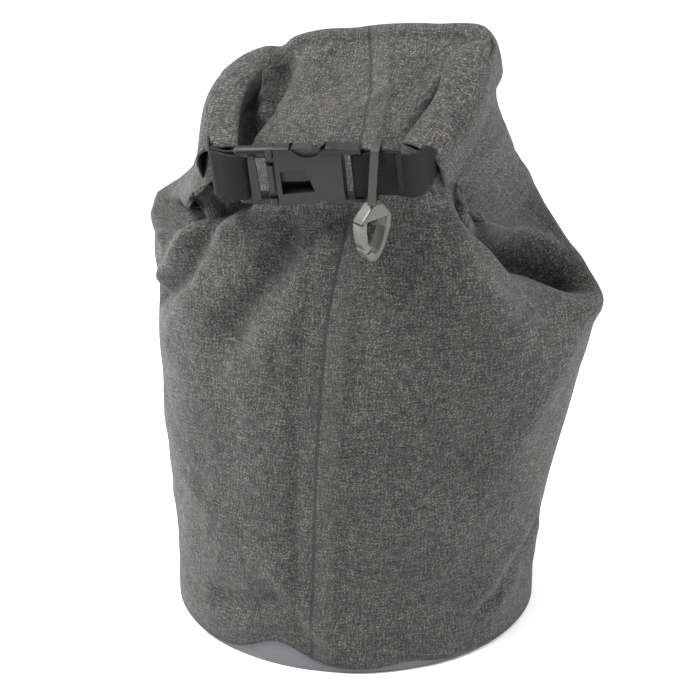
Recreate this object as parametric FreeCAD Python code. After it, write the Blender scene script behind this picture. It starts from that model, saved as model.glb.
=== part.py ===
import FreeCAD, Part
import math
import os

os.makedirs("parts", exist_ok=True)

V = FreeCAD.Vector

# ---------------------------------------------------------------- dimensions
# Roll-top dry bag, mouth rolled shut and its two ends buckled together.
# Millimetres.  Origin: centre of the underside of the base.  +Z up, the
# buckle and the lap seam face -Y.
BASE_R = 100.0          # outer radius of the base panel
BASE_T = 1.5            # coated base sheet
BASE_RIM_H = 16.0       # upstand welded inside the tube
FABRIC_T = 1.0          # coated polyester of the tube
HEM_Z = 3.0             # lower edge of the tube
TAPE_T = 0.4            # seam tape
LAP_W = 20.0            # tape behind the front lap seam

ROLL_W = 31.0           # height of the rolled band
ROLL_T = 12.0           # thickness of the rolled band
ROLL_WALL = 1.2         # outermost turn
STIFF_T = 1.5           # webbing stiffener in each lip of the mouth
ROLL_O = V(-3.5, 8, 325)   # middle of the crest
ROLL_N = V(-0.10, -0.63, 1.0)  # up direction of the rolled band
# crest line in plan, from the left end round the back to the right end
CREST_XY = [(-65.5, -60), (-70, -38), (-72.5, -16), (-69.5, -3), (-57.5, 3),
            (-30.5, 7), (-3.5, 8), (30.5, 9), (54.5, 9), (67.5, 5), (72.5, -4),
            (68.5, -22), (61.5, -38), (53.5, -53)]
END_SPLIT_Y = -18.0     # the left end of the roll is free in front of this

WEB_W = 25.0            # webbing width
WEB_W_R = 24.0          # the right strap, slightly cupped by the hook's eye
WEB_T = 1.5             # webbing thickness

BUCKLE_C = V(-5.5, -91, 274.5)     # centre of the closed buckle
BUCKLE_YAW = 6.0        # right end swung back, degrees
BUCKLE_ROLL = 3.5       # right end raised
BUCKLE_LEAN = 15.0      # top edge leaning forward
BUCKLE_H = 33.0         # across the latches
BUCKLE_T = 11.0         # thickness
SOCKET_L, SOCKET_R = -12.0, 31.0   # socket from mouth to end bar
MALE_L = -31.0          # outer end of the male half
MALE_B = -12.3          # shoulder of the male half
LATCH_U = -14.6         # latch flexure, along the buckle
LATCH_PIVOT = 9.6       # latch flexure, off the centre line
HEAD_OUT = 16.2         # outer face of a latch head
SLIDE_TRAVEL = 28.0     # male half clear of the socket

HOOK_U = 36.6           # place of the hook's eye along the buckle axis
HOOK_LEAN = 5.0         # hook axis, top leaning forward
HOOK_YAW = 52.0         # hook's flat face turned towards the right
HOOK_SIDE = 4.0         # hook axis, bottom leaning to the left
EYE_H = 26.4            # opening of the eye, along the hook
EYE_D = 12.0            # opening of the eye, front to back
EYE_BAR = 2.3           # bar of the eye
POST_R = 2.2            # swivel post
POST_CLEAR = 0.05       # radial clearance of the post
RING_W = 21.0           # hook body
RING_H = 31.0
RING_T = 7.0
GATE_LEN = 15.0         # sprung gate
GATE_CLEAR = 0.06       # radial clearance of the gate's root


def unit(v):
    w = V(v)
    w.normalize()
    return w


# ------------------------------------------------------------ small helpers
def bspline(points, closed=False):
    c = Part.BSplineCurve()
    c.interpolate([V(p) for p in points], PeriodicFlag=closed)
    return c


def catmull(pts, n=6):
    out = []
    m = len(pts)
    for i in range(m - 1):
        p0 = pts[max(i - 1, 0)]
        p1, p2 = pts[i], pts[i + 1]
        p3 = pts[min(i + 2, m - 1)]
        for k in range(n):
            t = k / n
            out.append(tuple(
                0.5 * (2 * p1[a] + (p2[a] - p0[a]) * t
                       + (2 * p0[a] - 5 * p1[a] + 4 * p2[a] - p3[a]) * t * t
                       + (3 * p1[a] - p0[a] - 3 * p2[a] + p3[a]) * t ** 3)
                for a in (0, 1)))
    out.append(tuple(pts[-1]))
    return out


def resample(pts, n):
    d = [0.0]
    for a, b in zip(pts, pts[1:]):
        d.append(d[-1] + math.dist(a, b))
    out = []
    j = 0
    for k in range(n):
        s = d[-1] * k / (n - 1)
        while j < len(d) - 2 and d[j + 1] < s:
            j += 1
        f = (s - d[j]) / (d[j + 1] - d[j])
        out.append(tuple(pts[j][a] + f * (pts[j + 1][a] - pts[j][a])
                         for a in (0, 1)))
    return out


def offset_line(pts, d):
    """Open line moved sideways; positive is to the left of its direction."""
    out = []
    for i, p in enumerate(pts):
        a = pts[max(i - 1, 0)]
        b = pts[min(i + 1, len(pts) - 1)]
        tx, ty = b[0] - a[0], b[1] - a[1]
        l = math.hypot(tx, ty)
        out.append((p[0] - ty / l * d, p[1] + tx / l * d))
    return out


class Frame:
    """A local frame: x, y, z in the directions a, b, c from an origin."""

    def __init__(self, o, a, b, c):
        self.o, self.a, self.b, self.c = V(o), unit(a), unit(b), unit(c)
        self.m = FreeCAD.Matrix(
            self.a.x, self.b.x, self.c.x, self.o.x,
            self.a.y, self.b.y, self.c.y, self.o.y,
            self.a.z, self.b.z, self.c.z, self.o.z,
            0, 0, 0, 1)

    def pt(self, x, y, z):
        return self.o + self.a * x + self.b * y + self.c * z

    def place(self, shape):
        s = shape.copy()
        s.Placement = FreeCAD.Placement(self.m)
        return s


def band(inner, outer, frame, r0, r1):
    """Closed strip between two lines, carried along the frame's c axis."""
    pi = [frame.pt(p[0], p[1], r0) for p in inner]
    po = [frame.pt(p[0], p[1], r0) for p in outer]
    e1 = bspline(pi).toShape()
    e2 = Part.makeLine(pi[-1], po[-1])
    e3 = bspline(list(reversed(po))).toShape()
    e4 = Part.makeLine(po[0], pi[0])
    face = Part.Face(Part.Wire([e1, e2, e3, e4]))
    return face.extrude(frame.c * (r1 - r0))


def box(x0, x1, y0, y1, z0, z1):
    return Part.makeBox(x1 - x0, y1 - y0, z1 - z0, V(x0, y0, z0))


def plate(points, z0, z1):
    w = Part.makePolygon([V(x, y, z0) for x, y in points] +
                         [V(points[0][0], points[0][1], z0)])
    return Part.Face(w).extrude(V(0, 0, z1 - z0))


def round_edges(shape, r, pick):
    """Fillet the picked edges, one group at a time, leaving any that fail."""
    edges = [e for e in shape.Edges if pick(e)]
    try:
        s = shape.makeFillet(r, edges)
        if s.isValid() and s.Volume > 0:
            return s
    except Exception:
        pass
    return shape


def solid_of(shape):
    s = shape
    if s.ShapeType == "Compound" and len(s.Solids) == 1:
        s = s.Solids[0]
    return s


NODES = {}


def keep(name, shape):
    s = solid_of(shape.removeSplitter() if shape.ShapeType != "Compound"
                 else shape)
    assert s.isValid(), name
    assert s.Volume > 0, name
    NODES[name] = s


# ------------------------------------------------------------ frames
n = unit(ROLL_N)
e1 = unit(V(1, 0, -n.x / n.z))           # left to right in the roll's plane
e2 = n.cross(e1)                          # towards the back
ROLL = Frame(ROLL_O, e1, e2, n)


def to_roll(x, y):
    z = ROLL_O.z - (n.x * (x - ROLL_O.x) + n.y * (y - ROLL_O.y)) / n.z
    d = V(x, y, z) - ROLL_O
    return (d.dot(e1), d.dot(e2))


ya, ro, le = (math.radians(BUCKLE_YAW), math.radians(BUCKLE_ROLL),
              math.radians(BUCKLE_LEAN))
bu = V(math.cos(ya) * math.cos(ro), math.sin(ya) * math.cos(ro), math.sin(ro))
bv = V(0, -math.sin(le), math.cos(le))
bv = unit(bv - bu * bv.dot(bu))
bw = bu.cross(bv)                         # out of the front face
BUCKLE = Frame(BUCKLE_C, bu, bv, bw)

# ------------------------------------------------------------ crest line
crest = [to_roll(x, y) for x, y in CREST_XY]
crest = resample(catmull(crest, 10), 41)
# walking left end, back, right end, the outside of the C is on the left hand


def crest_off(d):
    return offset_line(crest, d)


# ------------------------------------------------------------ body tube
# Closed cross sections, all seen from an axis through AX, AY.  The lower
# ones are ovals; the upper ones follow the C of the rolled mouth.
AX, AY = -3.5, -34.0
NB, NF = 25, 11          # points on the back line and on the front line


def plane_xy(z0, sx, sy):
    return lambda x, y: V(x, y, z0 + sx * x + sy * y)


def roll_plane(r):
    q = ROLL_O + n * r
    return lambda x, y: V(x, y, q.z - (n.x * (x - q.x) + n.y * (y - q.y)) / n.z)


def roll_xy(pts, r):
    out = []
    for p in pts:
        w = ROLL.pt(p[0], p[1], r)
        out.append((w.x, w.y))
    return out


def d_section(r, y_front, inset=0.5):
    """Back line along the inside of the roll, front line bulging forward."""
    back = resample(roll_xy(crest_off(-inset), r), NB)
    a, b = back[-1], back[0]              # right end, left end
    front = []
    for k in range(1, NF + 1):
        t = k / (NF + 1)
        x = a[0] + (b[0] - a[0]) * t
        y = a[1] + (b[1] - a[1]) * t
        f = 1 - (2 * t - 1) ** 2
        front.append((x, y + (y_front - (a[1] + b[1]) / 2) * f))
    return back + front


def angles(pts):
    return [math.atan2(p[1] - AY, p[0] - AX) for p in pts]


def oval(left, right, ytip, front, back, k):
    """Dense closed line of an oval whose ends may be drawn to points."""
    out = []
    for i in range(720):
        s = i / 360.0
        f = s if s < 1 else 2 - s
        x = left + (right - left) * (1 - math.cos(math.pi * f)) / 2
        bulge = math.sin(math.pi * f) ** k
        y = ytip + (back if s < 1 else -front) * bulge
        out.append((x, y))
    return out


def sample_at(dense, angs):
    da = angles(dense)
    out = []
    for a in angs:
        best = None
        for i in range(len(dense)):
            j = (i + 1) % len(dense)
            d0 = math.remainder(da[i] - a, 2 * math.pi)
            d1 = math.remainder(da[j] - a, 2 * math.pi)
            if d0 * d1 <= 0 and abs(d0) < 0.5 and abs(d1) < 0.5:
                f = 0.0 if d0 == d1 else d0 / (d0 - d1)
                best = (dense[i][0] + f * (dense[j][0] - dense[i][0]),
                        dense[i][1] + f * (dense[j][1] - dense[i][1]))
                break
        out.append(best)
    return out


def inset_closed(pts, d):
    """Closed line moved inwards by d (points run clockwise from above)."""
    m = len(pts)
    area = sum(pts[i][0] * pts[(i + 1) % m][1] - pts[(i + 1) % m][0] * pts[i][1]
               for i in range(m))
    sgn = 1 if area > 0 else -1
    out = []
    for i in range(m):
        a, b = pts[i - 1], pts[(i + 1) % m]
        tx, ty = b[0] - a[0], b[1] - a[1]
        l = math.hypot(tx, ty)
        out.append((pts[i][0] - sgn * ty / l * d, pts[i][1] + sgn * tx / l * d))
    return out


d_low = d_section(-33.0, -80.0)
d_mid = d_section(-17.0, -67.0)
angs = angles(d_low)

SECTIONS = [  # z at the axis, slope in x, slope in y, oval
    (HEM_Z, 0.0, 0.0, (-101, 101, 0, 101, 101, 1.0)),
    (34.0, 0.0, 0.0, (-102, 102.5, 0, 101, 101, 1.0)),
    (70.0, 0.0, 0.0, (-105, 107, 2, 99, 97, 1.0)),
    (130.0, 0.0, 0.0, (-111, 117, 5, 98, 92, 1.0)),
    (176.0, -0.03, 0.02, (-117, 125, 9, 97, 84, 1.0)),
    (208.0, -0.11, 0.10, (-120, 128, 14, 99, 74, 1.05)),
    (238.0, -0.02, 0.26, (-98, 99, 8, 90, 68, 1.1)),
]


def c_section(r, d_in, d_out):
    """Thin C: the two layers pressed together inside the roll."""
    back = resample(roll_xy(crest_off(-d_out), r), NB)
    inner = resample(roll_xy(crest_off(-d_in), r), NF + 2)[1:-1]
    return back + list(reversed(inner))


def closed_wire(pts3):
    return Part.Wire([bspline(pts3, closed=True).toShape()])


outer_w, inner_w = [], []
for z0, sx, sy, ov in SECTIONS:
    f = plane_xy(z0, sx, sy)
    pts = sample_at(oval(*ov), angs)
    outer_w.append(closed_wire([f(*p) for p in pts]))
    inner_w.append(closed_wire([f(*p) for p in inset_closed(pts, FABRIC_T)]))
for r, sec in ((-33.0, d_low), (-17.0, d_mid)):
    f = roll_plane(r)
    outer_w.append(closed_wire([f(*p) for p in sec]))
    inner_w.append(closed_wire([f(*p) for p in inset_closed(sec, FABRIC_T)]))
# the two layers are open as far as the last of these sections; above it the
# back layer goes straight up and the front layer runs back to meet it
shell = Part.makeLoft(outer_w, True, True).cut(
    Part.makeLoft(inner_w, True, True))


def strip_wire(a, b):
    """Four-sided outline of a thin strip between two open lines."""
    return Part.Wire([bspline(a).toShape(), Part.makeLine(a[-1], b[-1]),
                      bspline(list(reversed(b))).toShape(),
                      Part.makeLine(b[0], a[0])])


NECK_R0, NECK_R1 = -17.0, -2.0            # down from the crest, along the roll
f = roll_plane(NECK_R0)
d_in = inset_closed(d_mid, FABRIC_T)
low_o = [f(*p) for p in [d_mid[NB - 1]] + d_mid[NB:] + [d_mid[0]]][1:-1]
low_i = [f(*p) for p in [d_in[NB - 1]] + d_in[NB:] + [d_in[0]]][1:-1]
f = roll_plane(NECK_R1)
top_o = [f(*p) for p in reversed(resample(roll_xy(crest_off(-2.7), NECK_R1),
                                          NF + 4)[2:-2])]
top_i = [f(*p) for p in reversed(resample(roll_xy(crest_off(-1.7), NECK_R1),
                                          NF + 4)[2:-2])]
front_lip = Part.makeLoft([strip_wire(low_o, low_i), strip_wire(top_o, top_i)],
                          True, True)
back_lip = band(crest_off(-0.5 - FABRIC_T), crest_off(-0.5), ROLL,
                NECK_R0, NECK_R1)
roll_room = band(crest_off(-0.3), crest_off(14.0), ROLL, -33.5, 1.0)
front_lip = front_lip.cut(roll_room).cut(back_lip)
front_lip = max(front_lip.Solids, key=lambda s: s.Volume)
body = Part.makeCompound([shell.Solids[0], front_lip, back_lip])
keep("body_panel", body)

# ------------------------------------------------------------ base
BASE_FIT = 0.2          # the upstand stands this far inside the hem
base = Part.makeCylinder(BASE_R - BASE_FIT, BASE_RIM_H).cut(
    Part.makeCylinder(BASE_R - BASE_FIT - BASE_T, BASE_RIM_H, V(0, 0, BASE_T)))
base = round_edges(base, 1.2, lambda e: abs(e.BoundBox.ZMax) < 1e-6)
keep("base_panel", base)

tape_z0, tape_z1 = BASE_RIM_H + 0.3, BASE_RIM_H + 14.0
ring = Part.makeCylinder(BASE_R - 0.5, tape_z1 - tape_z0, V(0, 0, tape_z0)).cut(
    Part.makeCylinder(BASE_R - 0.5 - TAPE_T, tape_z1 - tape_z0 + 2,
                      V(0, 0, tape_z0 - 1)))
keep("base_seam_tape", ring)

# tape behind the lap seam, following the inside of the front
tape_pts = [(-98.6, 32.0), (-96.0, 70.0), (-91.6, 130.0), (-86.6, 176.0)]
tp = [V(0, y, z) for y, z in tape_pts]
tq = [V(0, y + TAPE_T, z) for y, z in tape_pts]
tape = Part.Face(Part.makePolygon(tp + list(reversed(tq)) + [tp[0]]))
tape = tape.extrude(V(LAP_W, 0, 0))
tape.translate(V(-LAP_W / 2, 0, 0))
tape = tape.cut(tape.common(body))
keep("front_seam_tape", tape)

# ------------------------------------------------------------ rolled band
def roll_band(d0, d1, r0, r1):
    return band(crest_off(d0), crest_off(d1), ROLL, r0, r1)


full = roll_band(0.0, ROLL_T, -ROLL_W, 0.0)
hole = roll_band(ROLL_WALL, ROLL_T - ROLL_WALL, -ROLL_W + ROLL_WALL,
                 -ROLL_WALL)
outer_turn = full.cut(hole)
inner_turns = hole
s1 = roll_band(3.4, 3.4 + STIFF_T, -28.5, -3.5)
s2 = roll_band(7.1, 7.1 + STIFF_T, -28.5, -3.5)
inner_turns = inner_turns.cut(s1).cut(s2)

gap = 0.4
back_half = box(-300, 300, END_SPLIT_Y + gap, 300, 0, 500).fuse(
    box(-20, 300, -300, END_SPLIT_Y + gap, 0, 500))
front_half = box(-300, -20.5, -300, END_SPLIT_Y, 0, 500)

# ------------------------------------------------------------ webbing
def ribbon(path, width, n_pts=60, t=WEB_T):
    """Webbing: a smooth line in the buckle's u-w plane, carried along v."""
    line = resample(catmull(path, 8), n_pts)
    lo, hi = offset_line(line, -t / 2), offset_line(line, t / 2)
    def P(p):
        return BUCKLE.pt(p[0], -width / 2, p[1])
    a = bspline([P(p) for p in lo]).toShape()
    b = bspline([P(p) for p in reversed(hi)]).toShape()
    w = Part.Wire([a, Part.makeLine(P(lo[-1]), P(hi[-1])), b,
                   Part.makeLine(P(hi[0]), P(lo[0]))])
    return Part.Face(w).extrude(BUCKLE.b * width)


def arc(cx, cy, r, a0, a1, k=9):
    return [(cx + r * math.cos(math.radians(a0 + (a1 - a0) * i / (k - 1))),
             cy + r * math.sin(math.radians(a0 + (a1 - a0) * i / (k - 1))))
            for i in range(k)]


def local(p):
    d = V(*p) - BUCKLE_C
    return (d.dot(bu), d.dot(bw))


# where the crest line ends, half way down the roll
def end_mid(idx, extra):
    p0 = crest_off(ROLL_T / 2)[idx]
    p1 = crest_off(ROLL_T / 2)[idx + (extra if idx == 0 else -extra)]
    a = ROLL.pt(p0[0], p0[1], -ROLL_W / 2 + 1.0)
    b = ROLL.pt(p1[0], p1[1], -ROLL_W / 2 + 1.0)
    return (a.x, a.y, a.z), (b.x, b.y, b.z)


BAR_LOOP = 2.5          # centre-line radius of the webbing round an end bar
la, lb = end_mid(0, 3)
ra, rb = end_mid(-1, 3)
lA, lB = local(la), local(lb)
rA, rB = local(ra), local(rb)

left_path = [lB, lA, (-50.0, -8.5), (-41.0, -1.5), (-35.5, 1.6),
             (-31.2, BAR_LOOP)]
left_path += arc(-28.7, 0, BAR_LOOP, 90, -90)
left_path += [(-33.0, -2.2), (-38.5, -2.9), (-43.5, -5.8), (-48.0, -9.2)]
strap_left = ribbon(left_path, WEB_W, 110)

right_path = [rB, rA, (62.0, -16.0), (58.3, -6.4), (52.5, -0.6),
              (45.0, 0.85), (38.0, 1.0), (33.5, 1.8), (30.6, BAR_LOOP)]
right_path += arc(28.6, 0, BAR_LOOP, 90, 270)
right_path += [(30.6, -BAR_LOOP), (33.5, -1.9), (38.0, -1.0), (45.0, -0.95),
               (50.5, -1.6)]
strap_right = ribbon(right_path, WEB_W_R, 110)

# ------------------------------------------------------------ buckle socket
hh = BUCKLE_H / 2
ht = BUCKLE_T / 2
sock = plate([(SOCKET_L, -hh), (14.0, -hh), (22.0, -hh + 1.2),
              (SOCKET_R - 1.0, -hh + 1.6), (SOCKET_R, -hh + 2.6),
              (SOCKET_R, hh - 2.6), (SOCKET_R - 1.0, hh - 1.6),
              (22.0, hh - 1.2), (14.0, hh), (SOCKET_L, hh)], -ht, ht)
# the face is crowned along its length
crown = Part.makeCylinder(60.0, 80.0, V(-40, 0, ht - 60.0), V(1, 0, 0)).common(
    Part.makeCylinder(60.0, 80.0, V(-40, 0, -ht + 60.0), V(1, 0, 0)))
sock = sock.common(crown)
sock = round_edges(sock, 1.6, lambda e: e.Length > 15 and
                   abs(abs(e.CenterOfMass.y) - hh) < 1.8)
cavity = box(SOCKET_L - 1, 16.2, -13.4, 13.4, -3.0, 3.0)
sock = sock.cut(cavity)
for s in (1, -1):
    y0, y1 = sorted((s * 10.5, s * 30.0))
    sock = sock.cut(box(-4.3, 13.8, y0, y1, -3.3, 3.3))
    # scoops for the fingertips above and below each latch head
    cyl = Part.makeCylinder(9.6, 30.0, V(5.0, s * (hh + 4.6), -15))
    sock = sock.cut(cyl.common(box(-6, 16, -40, 40, -15, 15)))
window = plate([(-9.5, -8.6), (6.8, -7.2), (3.6, 5.2), (-9.5, 4.4)], 2.0, 20.0)
sock = sock.cut(window)
sock = sock.cut(box(21.4, 25.6, -12.9, 12.9, -20, 20))      # webbing slot
sock = sock.cut(box(25.5, 40.0, -12.9, 12.9, 1.5, 20))
sock = sock.cut(box(25.5, 40.0, -12.9, 12.9, -20, -1.5))
# the rounded end bar
bar = box(26.9, SOCKET_R - 0.6, -13.2, 13.2, -1.45, 1.45)
bar = round_edges(bar, 1.3, lambda e: e.Length > 20)
sock = sock.cut(box(25.5, 40.0, -12.9, 12.9, -20, 20)).fuse(bar)
sock = sock.removeSplitter()
keep("buckle_socket", BUCKLE.place(sock))

# ------------------------------------------------------------ male half
male = box(MALE_B - 4.0, MALE_B, -15.6, 15.6, -4.6, 4.6)
male = round_edges(male, 1.2, lambda e: e.Length > 8.5)
for s in (1, -1):
    rail = Part.makeCylinder(3.1, 17.5, V(MALE_L + 1.2, s * 13.2, 0),
                             V(1, 0, 0))
    rail = rail.fuse(Part.makeSphere(3.1, V(MALE_L + 1.9, s * 13.2, 0)))
    male = male.fuse(rail)
male = male.fuse(plate([(-25.2, -11.5), (-20.4, -11.5), (-21.4, 11.5),
                        (-26.2, 11.5)], 3.3, 4.8).common(
    box(-25.0, -19, -20, 20, -5, 5)).fuse(
    box(-24.6, -21.4, -13.0, -11.0, 0.0, 4.6)).fuse(
    box(-24.6, -21.4, 11.0, 13.0, 0.0, 4.6)))
lbar = box(-30.2, -27.1, -13.0, 13.0, -1.45, 1.45)
lbar = round_edges(lbar, 1.3, lambda e: e.Length > 20)
male = male.fuse(lbar)
# centre guide tongue that runs into the socket
tongue = plate([(MALE_B - 0.5, -3.0), (2.0, -3.0), (7.0, -1.6), (7.0, 1.6),
                (2.0, 3.0), (MALE_B - 0.5, 3.0)], -2.0, 2.0)
male = male.fuse(tongue)
for s in (1, -1):    # seats of the latch roots
    male = male.cut(Part.makeCylinder(2.06, 20, V(LATCH_U, s * LATCH_PIVOT,
                                                  -10)))
    y0, y1 = sorted((s * (LATCH_PIVOT - 2.3), s * (LATCH_PIVOT + 1.75)))
    male = male.cut(box(LATCH_U, MALE_B + 1.0, y0, y1, -10, 10))
male = male.removeSplitter()
keep("buckle_male_frame", BUCKLE.place(male))


def latch(s):
    root = Part.makeCylinder(2.0, 5.0, V(LATCH_U, LATCH_PIVOT, -2.5))
    arm = plate([(LATCH_U, LATCH_PIVOT - 1.5), (-3.0, LATCH_PIVOT - 1.2),
                 (8.0, 7.6), (13.2, 7.2), (13.6, 9.6), (10.4, 13.0),
                 (6.5, 15.3), (3.0, HEAD_OUT), (0.0, HEAD_OUT - 0.2),
                 (-3.0, HEAD_OUT - 0.8), (-3.9, HEAD_OUT - 1.4),
                 (-3.9, LATCH_PIVOT + 1.6), (LATCH_U, LATCH_PIVOT + 1.5)],
                -2.5, 2.5)
    a = root.fuse(arm).removeSplitter()
    if s < 0:
        a = a.mirror(V(0, 0, 0), V(0, 1, 0))
    return a


keep("latch_arm_upper", BUCKLE.place(latch(1)))
keep("latch_arm_lower", BUCKLE.place(latch(-1)))

# ------------------------------------------------------------ finish webbing
sock_w, male_w = NODES["buckle_socket"], NODES["buckle_male_frame"]
strap_left = strap_left.cut(male_w)
strap_right = strap_right.cut(sock_w)
keep("strap_left", solid_of(strap_left))
keep("strap_right", solid_of(strap_right))

# bar tacks: blocks of thread on the outside of each doubled webbing
def tack(u, w0, w1, width):
    return BUCKLE.place(box(u - 1.2, u + 1.2, -width / 2 + 1.5,
                            width / 2 - 1.5, w0, w1))


TACK_L = (-44.6, -7.3, -5.6)
keep("bar_tack_left", solid_of(
    tack(TACK_L[0], TACK_L[1], TACK_L[2], WEB_W).cut(strap_left)))
keep("bar_tack_right", solid_of(
    tack(49.0, 1.2, 2.0, WEB_W_R).cut(strap_right)))

# ------------------------------------------------------------ roll, split
cut_l, cut_r = NODES["strap_left"], NODES["strap_right"]
keep("roll_outer_turn", outer_turn.common(back_half).cut(cut_r))
keep("roll_inner_turns", inner_turns.common(back_half).cut(cut_r))
keep("mouth_stiffener_front", s2.common(back_half).cut(cut_r))
keep("mouth_stiffener_back", s1.common(back_half).cut(cut_r))
keep("roll_left_end_cover", outer_turn.common(front_half).cut(cut_l))
keep("roll_left_end_turns", inner_turns.common(front_half).cut(cut_l))
keep("stiffener_left_front", s2.common(front_half).cut(cut_l))
keep("stiffener_left_back", s1.common(front_half).cut(cut_l))

# ------------------------------------------------------------ snap hook
hl = math.radians(HOOK_LEAN)
hs = math.radians(HOOK_SIDE)
hc = unit(V(math.sin(hs), -math.sin(hl), math.cos(hl)))    # up the hook
hb = unit(hc.cross(bu))                                     # back
ha = hb.cross(hc)                                           # left to right
# the eye's opening is centred on the strap
eye_o = BUCKLE.pt(HOOK_U, 0, 0.3) - hc * (EYE_H / 2 - 0.2)
EYE = Frame(eye_o, ha, hb, hc)
E = EYE_BAR
eye = box(-2.0, 2.0, -EYE_D / 2 - E, EYE_D / 2 + E, -E, EYE_H + E)
eye = round_edges(eye, 3.2, lambda e: abs(e.Length - 4.0) < 1e-3)
eye = eye.cut(box(-5, 5, -EYE_D / 2, EYE_D / 2, 0, EYE_H))
eye = round_edges(eye, 0.9, lambda e: abs(abs(e.CenterOfMass.x) - 2.0) < 1e-3)
RING_TOP = -E - 0.3
ROOF = 8.5              # solid part of the body that the post goes through
post = Part.makeCylinder(POST_R, ROOF + 1.2 - RING_TOP,
                         V(0, 0, RING_TOP - ROOF - 0.9))
head = Part.makeCylinder(3.0, 2.6, V(0, 0, RING_TOP - ROOF - 0.3 - 2.6))
head = round_edges(head, 0.7, lambda e: True)
hub = Part.makeCylinder(3.1, 1.6, V(0, 0, -E))
keep("hook_eye", EYE.place(eye.fuse(post).fuse(head).fuse(hub)
                           .removeSplitter()))

# hook body: a D-shaped frame with a gabled head, in its own turned frame
hy = math.radians(HOOK_YAW)
ka = ha * math.cos(hy) + hb * math.sin(hy)
kb = hb * math.cos(hy) - ha * math.sin(hy)
# local x across the hook, y up the hook, z out of its flat face
HOOK = Frame(EYE.o, ka, hc, unit(kb * -1.0))
rw = RING_W / 2
T = RING_TOP
B = RING_TOP - RING_H
outline = [(-3.2, T), (3.2, T), (rw - 1.0, T - 6.8), (rw, T - 8.6),
           (rw - 0.3, T - 14), (rw - 2.0, T - 20.5), (rw - 4.6, T - 26.5),
           (rw - 7.2, B + 1.0), (1.6, B), (-1.6, B), (-rw + 7.2, B + 1.0),
           (-rw + 4.6, T - 26.5), (-rw + 2.0, T - 20.5), (-rw + 0.3, T - 14),
           (-rw, T - 8.6), (-rw + 1.0, T - 6.8)]
hook = plate(outline, -RING_T / 2, RING_T / 2)
inner = [(-6.6, T - ROOF), (6.6, T - ROOF), (6.3, T - 14), (4.8, T - 20.0),
         (2.4, T - 25.2), (0.0, T - 26.6), (-2.4, T - 25.2), (-4.8, T - 20.0),
         (-6.3, T - 14)]
hook = hook.cut(plate(inner, -20, 20))
hook = round_edges(hook, 1.0, lambda e: abs(abs(e.CenterOfMass.z)
                                            - RING_T / 2) < 1e-3)
hook = hook.cut(Part.makeCylinder(POST_R + POST_CLEAR, 40,
                                  V(0, -20, 0), V(0, 1, 0)))
# the gate takes the place of the upper left limb and turns on a round root
GATE_TOP = T - ROOF - 0.2
GATE_BOT = GATE_TOP - GATE_LEN
GATE_X = -5.1
GATE_R = 2.0
gate_zone = plate([(-20, GATE_TOP + 0.25), (-3.0, GATE_TOP + 0.25),
                   (-1.5, GATE_BOT), (-20, GATE_BOT)], -20, 20)
limb = hook.common(gate_zone)
hook = hook.cut(gate_zone).cut(Part.makeCylinder(
    GATE_R + GATE_CLEAR, 40, V(GATE_X, GATE_BOT, -20)))
keep("hook_body", HOOK.place(hook.removeSplitter()))
gate = limb.common(plate([(-20, GATE_TOP), (-3.0, GATE_TOP),
                          (-1.5, GATE_BOT + 1.3), (-20, GATE_BOT + 1.3)],
                         -2.9, 2.9))
# its tip is an arc about the root, so that it swings in under the head
gate = gate.common(Part.makeCylinder(GATE_LEN - 0.05, 40,
                                     V(GATE_X, GATE_BOT, -20)))
gate = gate.fuse(Part.makeCylinder(GATE_R, 5.8, V(GATE_X, GATE_BOT, -2.9)))
keep("hook_gate", HOOK.place(gate.removeSplitter()))

# ------------------------------------------------------------ write
for name, shape in sorted(NODES.items()):
    shape.exportStep("parts/%s.step" % name)
    bb = shape.BoundBox
    print("%-24s solids %d valid %s vol %10.1f  box %7.1f %7.1f %7.1f  %7.1f %7.1f %7.1f"
          % (name, len(shape.Solids), shape.isValid(), shape.Volume,
             bb.XMin, bb.YMin, bb.ZMin, bb.XMax, bb.YMax, bb.ZMax))

# points the row's joints and openings are stated from
for label, v in (("buckle u", bu), ("buckle v", bv), ("buckle w", bw),
                 ("latch upper", BUCKLE.pt(LATCH_U, LATCH_PIVOT, 0)),
                 ("latch lower", BUCKLE.pt(LATCH_U, -LATCH_PIVOT, 0)),
                 ("hook origin", EYE.o), ("hook up", hc),
                 ("hook face", HOOK.c),
                 ("gate pivot", HOOK.pt(GATE_X, GATE_BOT, 0)),
                 ("hook opening", HOOK.pt(0, T - 19, 0)),
                 ("left end", V(*la)), ("right end", V(*ra))):
    print("%-14s %.5f %.5f %.5f" % (label, v.x, v.y, v.z))
print("hook local: left limb x", -rw, "gate", GATE_TOP, GATE_BOT)
print("crest length", sum(math.dist(a, b) for a, b in zip(crest, crest[1:])))
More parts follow.
